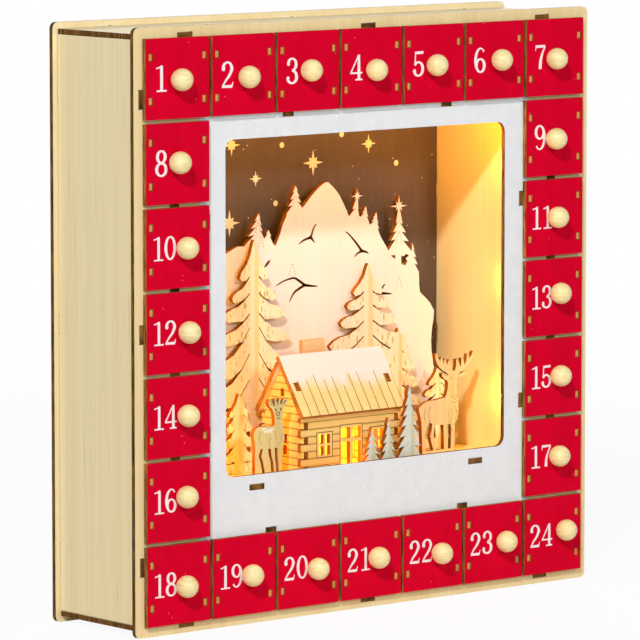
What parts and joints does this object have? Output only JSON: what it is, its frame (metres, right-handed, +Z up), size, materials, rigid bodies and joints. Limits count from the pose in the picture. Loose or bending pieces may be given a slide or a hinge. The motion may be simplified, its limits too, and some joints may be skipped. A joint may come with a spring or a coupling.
{
  "type": "advent calendar",
  "caption": "Square plywood advent calendar: red numbered drawers with round knobs frame a lit winter scene of firs, deer and a log cabin.",
  "frame": {"origin": "on the surface it stands on, in the middle of its width and of its depth over the knobs", "axes": "+Z up, the drawers and the window face -Y, +X is to the right of someone who looks at the front"},
  "size_m": [0.3, 0.0798, 0.3],
  "materials": {
    "natural_ply": "bare laser-cut plywood",
    "snow_paint": "plywood under white glitter paint",
    "red_drawer": "plywood with a red painted front",
    "cell_sleeve": "plain printed sleeve",
    "plated_contact": "nickel plated",
    "black_plastic": "moulded",
    "lamp_string": "thin wire with cast resin lamps"
  },
  "bodies": {
    "case": {"front_panel": "snow_paint", "back_panel": "natural_ply", "left_side": "natural_ply", "right_side": "natural_ply", "top_panel": "natural_ply", "bottom_panel": "natural_ply", "upper_rack": "natural_ply", "lower_rack": "natural_ply", "left_rack": "natural_ply", "right_rack": "natural_ply", "scene_floor": "natural_ply", "mountain": "natural_ply", "fir_left": "natural_ply", "fir_right": "natural_ply", "fir_grove": "natural_ply", "fir_near": "natural_ply", "snow_firs": "snow_paint", "doe": "natural_ply", "stag": "natural_ply", "cabin_front_wall": "natural_ply", "cabin_back_wall": "natural_ply", "cabin_left_gable": "natural_ply", "cabin_right_gable": "natural_ply", "cabin_roof_front": "snow_paint", "cabin_roof_back": "snow_paint", "cabin_chimney": "natural_ply", "battery_case": "black_plastic", "cell_1": "cell_sleeve", "cell_2": "cell_sleeve", "contact_plate": "plated_contact", "contact_spring": "plated_contact", "light_string": "lamp_string"},
    "drawer_01": {"drawer_01": "red_drawer"},
    "drawer_02": {"drawer_02": "red_drawer"},
    "drawer_03": {"drawer_03": "red_drawer"},
    "drawer_04": {"drawer_04": "red_drawer"},
    "drawer_05": {"drawer_05": "red_drawer"},
    "drawer_06": {"drawer_06": "red_drawer"},
    "drawer_07": {"drawer_07": "red_drawer"},
    "drawer_08": {"drawer_08": "red_drawer"},
    "drawer_09": {"drawer_09": "red_drawer"},
    "drawer_10": {"drawer_10": "red_drawer"},
    "drawer_11": {"drawer_11": "red_drawer"},
    "drawer_12": {"drawer_12": "red_drawer"},
    "drawer_13": {"drawer_13": "red_drawer"},
    "drawer_14": {"drawer_14": "red_drawer"},
    "drawer_15": {"drawer_15": "red_drawer"},
    "drawer_16": {"drawer_16": "red_drawer"},
    "drawer_17": {"drawer_17": "red_drawer"},
    "drawer_18": {"drawer_18": "red_drawer"},
    "drawer_19": {"drawer_19": "red_drawer"},
    "drawer_20": {"drawer_20": "red_drawer"},
    "drawer_21": {"drawer_21": "red_drawer"},
    "drawer_22": {"drawer_22": "red_drawer"},
    "drawer_23": {"drawer_23": "red_drawer"},
    "drawer_24": {"drawer_24": "red_drawer"},
    "battery_lid": {"battery_lid": "natural_ply"},
    "switch_slider": {"switch_slider": "black_plastic"}
  },
  "joints": [
    {"name": "drawer_01_slide", "type": "slide", "parent": "case", "child": "drawer_01", "axis": [0, -1, 0], "range_m": [0, 0.05]},
    {"name": "drawer_02_slide", "type": "slide", "parent": "case", "child": "drawer_02", "axis": [0, -1, 0], "range_m": [0, 0.05]},
    {"name": "drawer_03_slide", "type": "slide", "parent": "case", "child": "drawer_03", "axis": [0, -1, 0], "range_m": [0, 0.05]},
    {"name": "drawer_04_slide", "type": "slide", "parent": "case", "child": "drawer_04", "axis": [0, -1, 0], "range_m": [0, 0.05]},
    {"name": "drawer_05_slide", "type": "slide", "parent": "case", "child": "drawer_05", "axis": [0, -1, 0], "range_m": [0, 0.05]},
    {"name": "drawer_06_slide", "type": "slide", "parent": "case", "child": "drawer_06", "axis": [0, -1, 0], "range_m": [0, 0.05]},
    {"name": "drawer_07_slide", "type": "slide", "parent": "case", "child": "drawer_07", "axis": [0, -1, 0], "range_m": [0, 0.05]},
    {"name": "drawer_08_slide", "type": "slide", "parent": "case", "child": "drawer_08", "axis": [0, -1, 0], "range_m": [0, 0.05]},
    {"name": "drawer_09_slide", "type": "slide", "parent": "case", "child": "drawer_09", "axis": [0, -1, 0], "range_m": [0, 0.05]},
    {"name": "drawer_10_slide", "type": "slide", "parent": "case", "child": "drawer_10", "axis": [0, -1, 0], "range_m": [0, 0.05]},
    {"name": "drawer_11_slide", "type": "slide", "parent": "case", "child": "drawer_11", "axis": [0, -1, 0], "range_m": [0, 0.05]},
    {"name": "drawer_12_slide", "type": "slide", "parent": "case", "child": "drawer_12", "axis": [0, -1, 0], "range_m": [0, 0.05]},
    {"name": "drawer_13_slide", "type": "slide", "parent": "case", "child": "drawer_13", "axis": [0, -1, 0], "range_m": [0, 0.05]},
    {"name": "drawer_14_slide", "type": "slide", "parent": "case", "child": "drawer_14", "axis": [0, -1, 0], "range_m": [0, 0.05]},
    {"name": "drawer_15_slide", "type": "slide", "parent": "case", "child": "drawer_15", "axis": [0, -1, 0], "range_m": [0, 0.05]},
    {"name": "drawer_16_slide", "type": "slide", "parent": "case", "child": "drawer_16", "axis": [0, -1, 0], "range_m": [0, 0.05]},
    {"name": "drawer_17_slide", "type": "slide", "parent": "case", "child": "drawer_17", "axis": [0, -1, 0], "range_m": [0, 0.05]},
    {"name": "drawer_18_slide", "type": "slide", "parent": "case", "child": "drawer_18", "axis": [0, -1, 0], "range_m": [0, 0.05]},
    {"name": "drawer_19_slide", "type": "slide", "parent": "case", "child": "drawer_19", "axis": [0, -1, 0], "range_m": [0, 0.05]},
    {"name": "drawer_20_slide", "type": "slide", "parent": "case", "child": "drawer_20", "axis": [0, -1, 0], "range_m": [0, 0.05]},
    {"name": "drawer_21_slide", "type": "slide", "parent": "case", "child": "drawer_21", "axis": [0, -1, 0], "range_m": [0, 0.05]},
    {"name": "drawer_22_slide", "type": "slide", "parent": "case", "child": "drawer_22", "axis": [0, -1, 0], "range_m": [0, 0.05]},
    {"name": "drawer_23_slide", "type": "slide", "parent": "case", "child": "drawer_23", "axis": [0, -1, 0], "range_m": [0, 0.05]},
    {"name": "drawer_24_slide", "type": "slide", "parent": "case", "child": "drawer_24", "axis": [0, -1, 0], "range_m": [0, 0.05]},
    {"name": "battery_lid_pull", "type": "slide", "parent": "case", "child": "battery_lid", "axis": [0, 1, 0], "range_m": [0, 0.03]},
    {"name": "switch_throw", "type": "slide", "parent": "case", "child": "switch_slider", "axis": [1, 0, 0], "range_m": [0, 0.003]}
  ]
}
